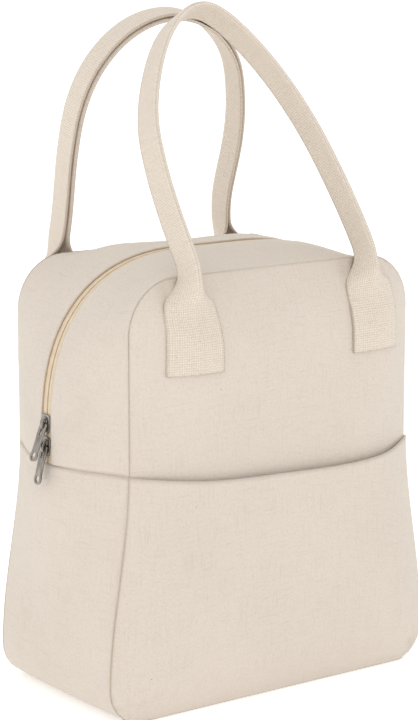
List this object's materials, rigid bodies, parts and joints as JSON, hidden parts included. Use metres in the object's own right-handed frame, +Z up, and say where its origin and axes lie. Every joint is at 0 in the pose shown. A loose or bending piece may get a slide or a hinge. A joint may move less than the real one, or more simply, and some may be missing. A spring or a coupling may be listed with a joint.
{
  "type": "insulated lunch bag",
  "caption": "Soft insulated lunch bag of natural canvas with a zipped top that opens in a wide mouth, a front pocket and webbing carry handles.",
  "frame": {"origin": "centre of the base, on the surface the bag stands on", "axes": "+X across the width, away from the parked zip sliders; +Y from the pocket side to the back; +Z up"},
  "size_m": [0.2831, 0.1834, 0.4615],
  "materials": {
    "canvas": "matte",
    "foam": "matte",
    "lining": "satin",
    "zip_tape": "matte",
    "zip_coil": "satin",
    "webbing": "matte",
    "zip_metal": "polished nickel plate"
  },
  "bodies": {
    "body": {"base_gusset": "canvas", "base_gusset_foam": "foam", "base_gusset_lining": "lining", "front_panel_lower": "canvas", "back_panel_lower": "canvas", "front_foam_lower": "foam", "back_foam_lower": "foam", "front_lining_lower": "lining", "back_lining_lower": "lining", "front_pocket": "canvas"},
    "front_flap": {"front_panel_upper": "canvas", "front_foam_upper": "foam", "front_lining_upper": "lining", "front_zip_gusset": "canvas", "front_zip_gusset_foam": "foam", "front_zip_gusset_lining": "lining", "front_zip_tape": "zip_tape", "front_zip_coil": "zip_coil", "front_handle_tab_left": "webbing", "front_handle_tab_right": "webbing"},
    "back_flap": {"back_panel_upper": "canvas", "back_foam_upper": "foam", "back_lining_upper": "lining", "back_zip_gusset": "canvas", "back_zip_gusset_foam": "foam", "back_zip_gusset_lining": "lining", "back_zip_tape": "zip_tape", "back_zip_coil": "zip_coil", "back_handle_tab_left": "webbing", "back_handle_tab_right": "webbing"},
    "front_handle": {"front_handle": "webbing"},
    "back_handle": {"back_handle": "webbing"},
    "upper_slider": {"upper_slider": "zip_metal"},
    "lower_slider": {"lower_slider": "zip_metal"},
    "upper_pull": {"upper_pull": "zip_metal"},
    "lower_pull": {"lower_pull": "zip_metal"}
  },
  "joints": [
    {"name": "front_flap_open", "type": "hinge", "parent": "body", "child": "front_flap", "pos_m": [0, -0.0849, 0.164], "axis": [1, 0, 0], "range_deg": [0, 24]},
    {"name": "back_flap_open", "type": "hinge", "parent": "body", "child": "back_flap", "pos_m": [0, 0.0849, 0.164], "axis": [-1, 0, 0], "range_deg": [0, 24]},
    {"name": "front_handle_swing", "type": "hinge", "parent": "front_flap", "child": "front_handle", "pos_m": [0, -0.0887, 0.2684], "axis": [1, 0, 0], "range_deg": [0, 186]},
    {"name": "back_handle_swing", "type": "hinge", "parent": "back_flap", "child": "back_handle", "pos_m": [0, 0.0887, 0.2684], "axis": [-1, 0, 0], "range_deg": [0, 176]},
    {"name": "upper_slider_travel", "type": "hinge", "parent": "front_flap", "child": "upper_slider", "pos_m": [-0.028, 0, 0.19], "axis": [0, 1, 0], "range_deg": [0, 90]},
    {"name": "lower_slider_travel", "type": "slide", "parent": "body", "child": "lower_slider", "axis": [0, 0, 1], "range_m": [-0.004, 0.001]},
    {"name": "upper_pull_flip", "type": "hinge", "parent": "upper_slider", "child": "upper_pull", "pos_m": [-0.13705, 0, 0.19], "axis": [0, 1, 0], "range_deg": [0, 140]},
    {"name": "lower_pull_flip", "type": "hinge", "parent": "lower_slider", "child": "lower_pull", "pos_m": [-0.13705, 0, 0.175], "axis": [0, 1, 0], "range_deg": [-9, 16]}
  ]
}
